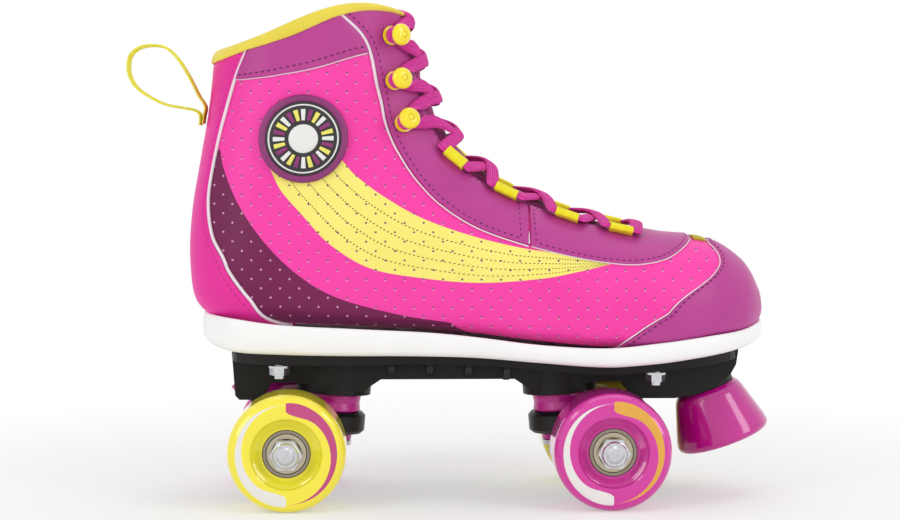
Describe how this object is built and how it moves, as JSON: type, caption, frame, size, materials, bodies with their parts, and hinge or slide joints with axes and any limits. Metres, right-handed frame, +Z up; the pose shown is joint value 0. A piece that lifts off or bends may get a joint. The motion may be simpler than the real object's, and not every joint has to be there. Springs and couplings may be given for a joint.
{
  "type": "roller skate",
  "caption": "High-top lace-up quad roller skate: padded boot on a moulded plate, tilting trucks with urethane wheels on bearings, and a toe stop.",
  "frame": {"origin": "on the ground under the middle of the skate", "axes": "+X towards the toe, +Y towards the inner side of the foot, +Z up"},
  "size_m": [0.3046, 0.1152, 0.2324],
  "materials": {
    "sole_rubber": "matt white moulded rubber",
    "board": "pressed fibre board",
    "lining_fabric": "padded textile",
    "pink_leather": "soft synthetic leather, perforated",
    "purple_leather": "soft synthetic leather",
    "yellow_webbing": "woven webbing",
    "badge_rubber": "soft moulded badge",
    "lace_fabric": "braided lace",
    "yellow_enamel": "gloss enamel",
    "plate_nylon": "satin moulded nylon",
    "hanger_black": "black powder coat",
    "cushion_urethane": "satin urethane",
    "magenta_urethane": "glossy urethane",
    "yellow_urethane": "glossy urethane",
    "steel": "zinc plated steel"
  },
  "bodies": {
    "boot_and_plate": {"sole": "sole_rubber", "insole_board": "board", "footbed": "lining_fabric", "vamp_lining": "lining_fabric", "quarter_lining": "lining_fabric", "quarter_lateral": "pink_leather", "quarter_medial": "pink_leather", "toe_cap": "purple_leather", "heel_counter": "pink_leather", "vamp_overlay": "purple_leather", "eyestay_lateral": "purple_leather", "eyestay_medial": "purple_leather", "collar_panel_lateral": "purple_leather", "collar_panel_medial": "purple_leather", "collar_binding": "yellow_webbing", "tongue": "lining_fabric", "vamp_insert": "yellow_webbing", "badge": "badge_rubber", "pull_loop": "yellow_webbing", "lace": "lace_fabric", "lace_loops": "yellow_webbing", "hooks": "yellow_enamel", "hook_rivets": "steel", "plate": "plate_nylon", "mount_screws": "steel", "mount_washers": "steel", "mount_nuts": "steel", "kingpins": "steel", "kingpin_nuts": "steel", "cushion_washers": "steel", "cushion_upper_front": "cushion_urethane", "cushion_upper_rear": "cushion_urethane", "cushion_lower_front": "cushion_urethane", "cushion_lower_rear": "cushion_urethane", "pivot_cups": "cushion_urethane", "toe_stop": "magenta_urethane", "toe_stop_bolt": "steel", "toe_stop_nut": "steel"},
    "truck_front": {"hanger_front": "hanger_black", "axle_front": "steel", "axle_nuts_front": "steel", "axle_washers_front": "steel", "bearing_inner_rings_front": "steel", "bearing_balls_front": "steel", "bearing_spacers_front": "steel"},
    "truck_rear": {"hanger_rear": "hanger_black", "axle_rear": "steel", "axle_nuts_rear": "steel", "axle_washers_rear": "steel", "bearing_inner_rings_rear": "steel", "bearing_balls_rear": "steel", "bearing_spacers_rear": "steel"},
    "wheel_rear_lateral": {"wheel_rear_lateral": "yellow_urethane", "bearings_rear_lateral": "steel"},
    "wheel_rear_medial": {"wheel_rear_medial": "magenta_urethane", "bearings_rear_medial": "steel"},
    "wheel_front_lateral": {"wheel_front_lateral": "magenta_urethane", "bearings_front_lateral": "steel"},
    "wheel_front_medial": {"wheel_front_medial": "yellow_urethane", "bearings_front_medial": "steel"}
  },
  "joints": [
    {"name": "truck_front_tilt", "type": "hinge", "parent": "boot_and_plate", "child": "truck_front", "pos_m": [0.0918, 0, 0.051], "axis": [0.9305, 0, 0.3663], "range_deg": [-7, 7], "stiffness_Nm_per_rad": 8, "deforming": ["cushion_upper_front", "cushion_lower_front"]},
    {"name": "truck_rear_tilt", "type": "hinge", "parent": "boot_and_plate", "child": "truck_rear", "pos_m": [-0.0948, 0, 0.051], "axis": [0.9305, 0, -0.3663], "range_deg": [-7, 7], "stiffness_Nm_per_rad": 8, "deforming": ["cushion_upper_rear", "cushion_lower_rear"]},
    {"name": "wheel_rear_lateral_spin", "type": "hinge", "parent": "truck_rear", "child": "wheel_rear_lateral", "pos_m": [-0.0758, -0.037, 0.027], "axis": [0, 1, 0], "continuous": true},
    {"name": "wheel_rear_medial_spin", "type": "hinge", "parent": "truck_rear", "child": "wheel_rear_medial", "pos_m": [-0.0758, 0.037, 0.027], "axis": [0, 1, 0], "continuous": true},
    {"name": "wheel_front_lateral_spin", "type": "hinge", "parent": "truck_front", "child": "wheel_front_lateral", "pos_m": [0.0728, -0.037, 0.027], "axis": [0, 1, 0], "continuous": true},
    {"name": "wheel_front_medial_spin", "type": "hinge", "parent": "truck_front", "child": "wheel_front_medial", "pos_m": [0.0728, 0.037, 0.027], "axis": [0, 1, 0], "continuous": true}
  ]
}
